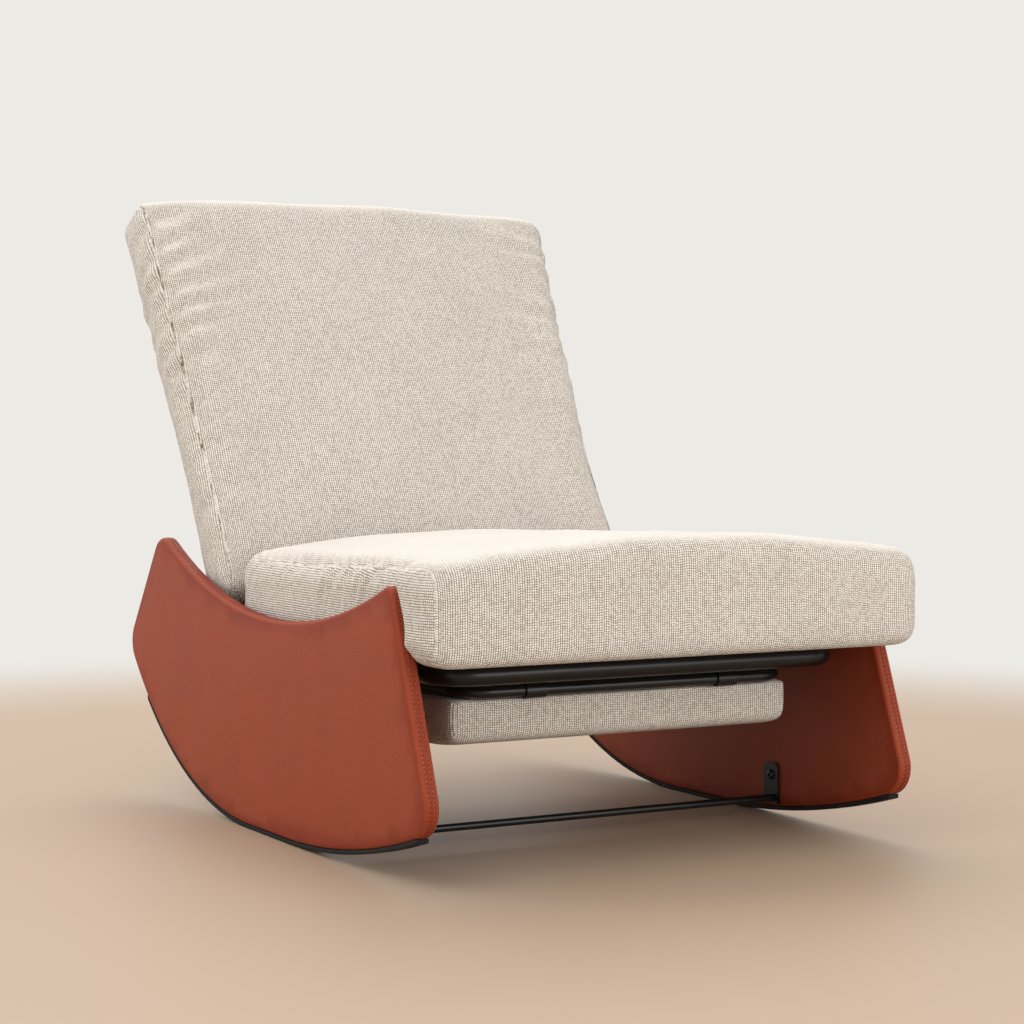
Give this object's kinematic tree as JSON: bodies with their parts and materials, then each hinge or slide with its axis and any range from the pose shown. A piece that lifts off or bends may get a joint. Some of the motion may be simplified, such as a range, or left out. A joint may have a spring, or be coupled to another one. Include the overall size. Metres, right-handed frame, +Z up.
{
  "type": "rocker recliner",
  "caption": "Low lounge chair on curved padded leather side boards, with woven seat and back cushions, a reclining back and a leg rest that slides out from under the seat and turns over.",
  "frame": {"origin": "on the floor, under the middle of the chair's box", "axes": "+X across the chair towards its right board as seen from the front, +Y towards the back, +Z up; the front faces -Y"},
  "size_m": [0.746, 1.1134, 0.9352],
  "materials": {
    "leather": "satin",
    "plywood": "matte",
    "rocker_rubber": "matte",
    "black_tube": "satin",
    "black_fastener": "satin",
    "webbing": "matte",
    "seat_fabric": "matte",
    "black_plastic": "matte"
  },
  "bodies": {
    "base": {"friction_discs": "black_plastic", "guide_block_screws": "black_fastener", "left_front_seat_bracket": "black_tube", "left_guide_blocks": "black_plastic", "left_hinge_lug": "black_tube", "left_rear_seat_bracket": "black_tube", "left_rocker_strip": "rocker_rubber", "left_seat_rail": "black_tube", "left_side_core": "plywood", "left_side_edge_gusset": "leather", "left_side_inner_cover": "leather", "left_side_outer_cover": "leather", "left_stretcher_bracket": "black_tube", "leg_rest_crossbars": "black_tube", "rear_cross_tube": "black_tube", "right_front_seat_bracket": "black_tube", "right_guide_blocks": "black_plastic", "right_hinge_lug": "black_tube", "right_rear_seat_bracket": "black_tube", "right_rocker_strip": "rocker_rubber", "right_seat_rail": "black_tube", "right_side_core": "plywood", "right_side_edge_gusset": "leather", "right_side_inner_cover": "leather", "right_side_outer_cover": "leather", "right_stretcher_bracket": "black_tube", "seat_bracket_bolts": "black_fastener", "seat_cushion": "seat_fabric", "seat_front_tube": "black_tube", "seat_webbing": "webbing", "stretcher_bolts": "black_fastener", "stretcher_rod": "black_tube"},
    "back": {"back_cushion": "seat_fabric", "back_top_tube": "black_tube", "back_webbing": "webbing", "hinge_bushes": "black_plastic", "left_back_upright": "black_tube", "left_hinge_arm": "black_tube", "right_back_upright": "black_tube", "right_hinge_arm": "black_tube"},
    "leg_rest_frame": {"left_leg_rest_arm": "black_tube", "leg_rest_front_bar": "black_tube", "leg_rest_stop_caps": "black_plastic", "right_leg_rest_arm": "black_tube"},
    "leg_rest_pad": {"pad_board": "plywood", "pad_clip_screws": "black_fastener", "pad_clips": "black_plastic", "pad_cushion": "seat_fabric"}
  },
  "joints": [
    {"name": "back_recline", "type": "hinge", "parent": "base", "child": "back", "pos_m": [0, 0.16731, 0.291], "axis": [-1, 0, 0], "range_deg": [0, 27]},
    {"name": "leg_rest_slide", "type": "slide", "parent": "base", "child": "leg_rest_frame", "axis": [0, -1, 0], "range_m": [0, 0.2]},
    {"name": "leg_rest_flip", "type": "hinge", "parent": "leg_rest_frame", "child": "leg_rest_pad", "pos_m": [0, -0.40669, 0.227], "axis": [-1, 0, 0], "range_deg": [0, 180]}
  ],
  "couplings": [
    {"joint": "leg_rest_flip", "follows": "leg_rest_slide", "rad_per_m": 15.7}
  ]
}
